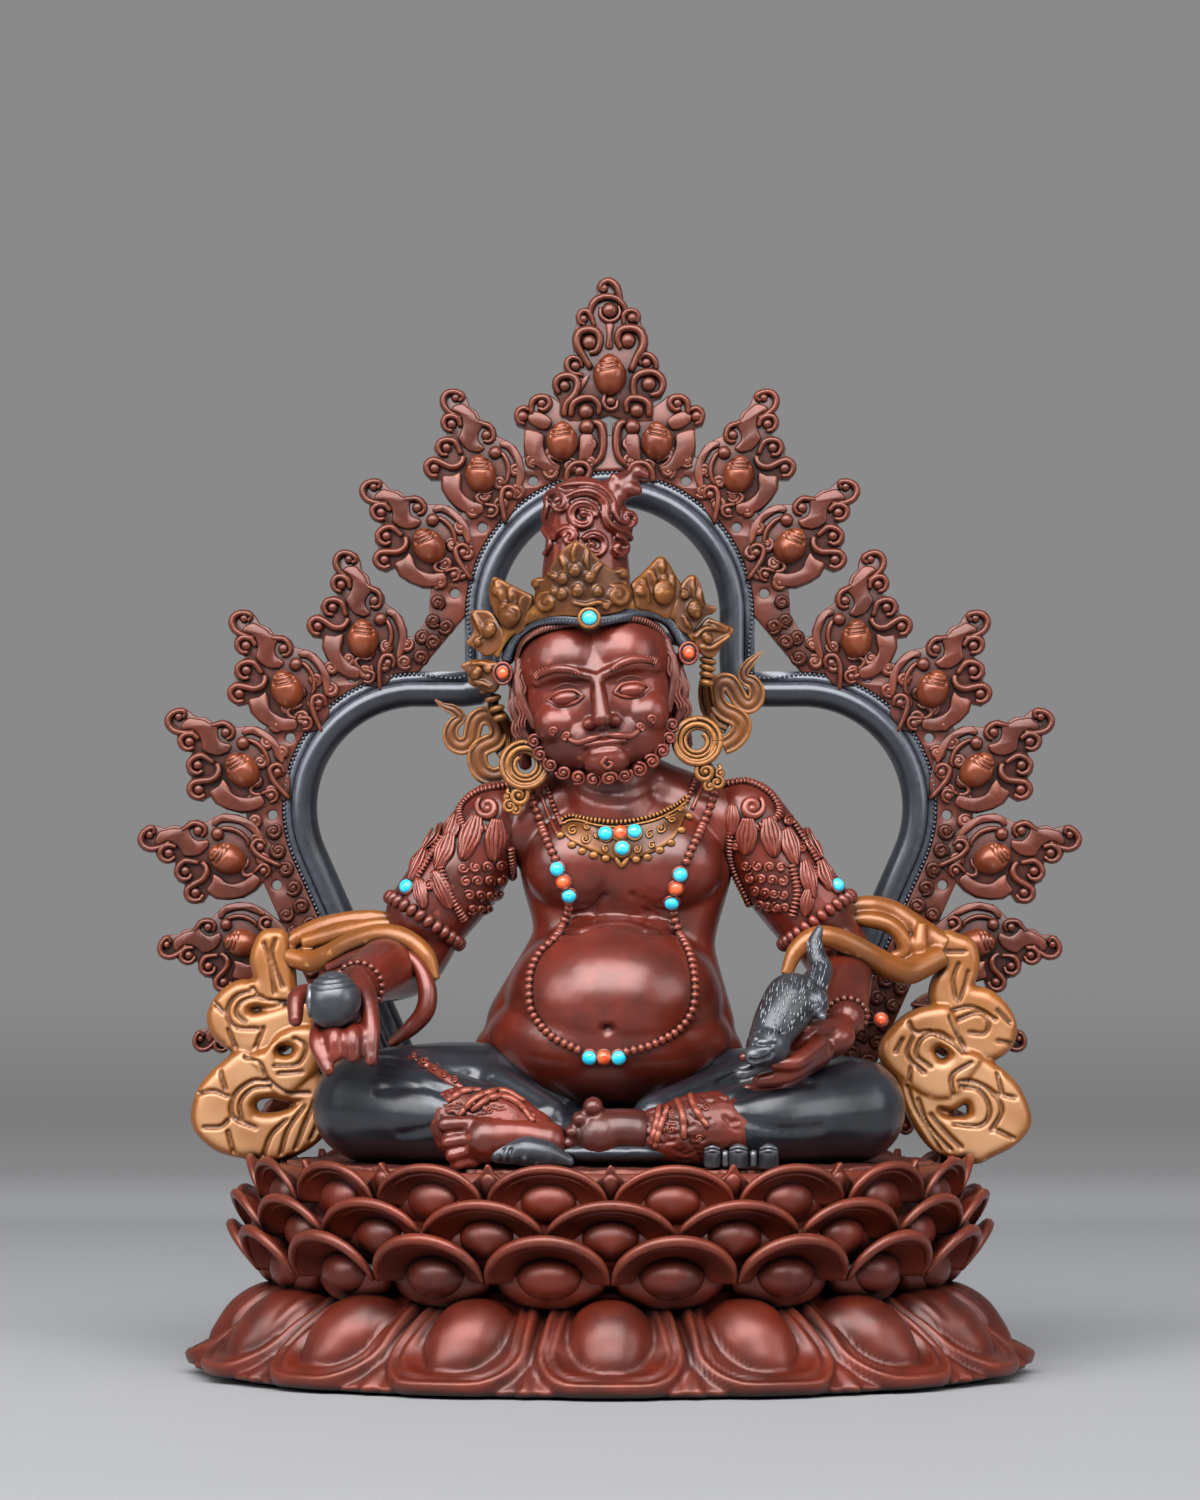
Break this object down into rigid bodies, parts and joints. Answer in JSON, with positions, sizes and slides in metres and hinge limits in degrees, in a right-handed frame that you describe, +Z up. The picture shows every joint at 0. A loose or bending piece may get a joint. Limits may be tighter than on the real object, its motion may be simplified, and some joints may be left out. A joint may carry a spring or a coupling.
{
  "type": "jambhala statue",
  "caption": "Seated wealth deity on a double lotus base, holding a jewel and a mongoose, with stone-set ornaments and a lift-off openwork flame aureole behind it.",
  "frame": {"origin": "centre of the underside of the bounding box, on the plane the lotus base stands on", "axes": "+Z up, -Y the way the figure faces, +X to the figure's left (to the right in the picture)"},
  "size_m": [0.1902, 0.1224, 0.2223],
  "materials": {
    "red_copper": "satin red patina over cast copper, worn lighter on high spots",
    "dark_copper": "dark stippled red patina",
    "black_copper": "polished blue-black patina",
    "ochre_copper": "satin ochre patina with dark creases",
    "antique_gold": "aged gold patina with dark hollows",
    "sheet_copper": "plain copper sheet and rod",
    "turquoise": "polished turquoise",
    "coral": "polished red coral"
  },
  "bodies": {
    "statue": {"lotus_skirt": "red_copper", "lotus_bowl": "red_copper", "base_plate": "sheet_copper", "seat_disc": "dark_copper", "torso": "red_copper", "head": "red_copper", "topknot": "red_copper", "neck_pin": "sheet_copper", "trousers": "black_copper", "scarf_back": "ochre_copper", "crown": "antique_gold", "collar": "antique_gold", "long_necklace": "red_copper", "right_arm": "red_copper", "left_arm": "red_copper", "right_shoulder_pin": "sheet_copper", "left_shoulder_pin": "sheet_copper", "right_seat_pin": "sheet_copper", "left_seat_pin": "sheet_copper", "right_ankle_wrap": "red_copper", "left_ankle_wrap": "red_copper", "right_foot": "red_copper", "left_foot": "dark_copper", "right_crown_ribbon": "antique_gold", "left_crown_ribbon": "antique_gold", "right_earring": "antique_gold", "left_earring": "antique_gold", "right_armlet": "red_copper", "left_armlet": "red_copper", "right_bracelet": "red_copper", "left_bracelet": "red_copper", "right_scarf_fold": "ochre_copper", "left_scarf_fold": "ochre_copper", "jewel": "black_copper", "mongoose": "black_copper", "conch": "black_copper", "gem_cluster": "black_copper", "collar_turquoise_1": "turquoise", "collar_coral": "coral", "collar_turquoise_2": "turquoise", "collar_turquoise_3": "turquoise", "right_chest_turquoise_1": "turquoise", "right_chest_coral": "coral", "right_chest_turquoise_2": "turquoise", "left_chest_turquoise_1": "turquoise", "left_chest_coral": "coral", "left_chest_turquoise_2": "turquoise", "belly_turquoise_1": "turquoise", "belly_coral": "coral", "belly_turquoise_2": "turquoise", "crown_turquoise": "turquoise", "right_crown_coral": "coral", "left_crown_coral": "coral", "right_armlet_turquoise": "turquoise", "left_armlet_turquoise": "turquoise", "left_bracelet_coral": "coral"},
    "aureole": {"aureole_frame": "red_copper", "aureole_moulding": "black_copper"}
  },
  "joints": [
    {"name": "aureole_lift", "type": "slide", "parent": "statue", "child": "aureole", "axis": [0, 0, 1], "range_m": [0, 0.012]}
  ]
}
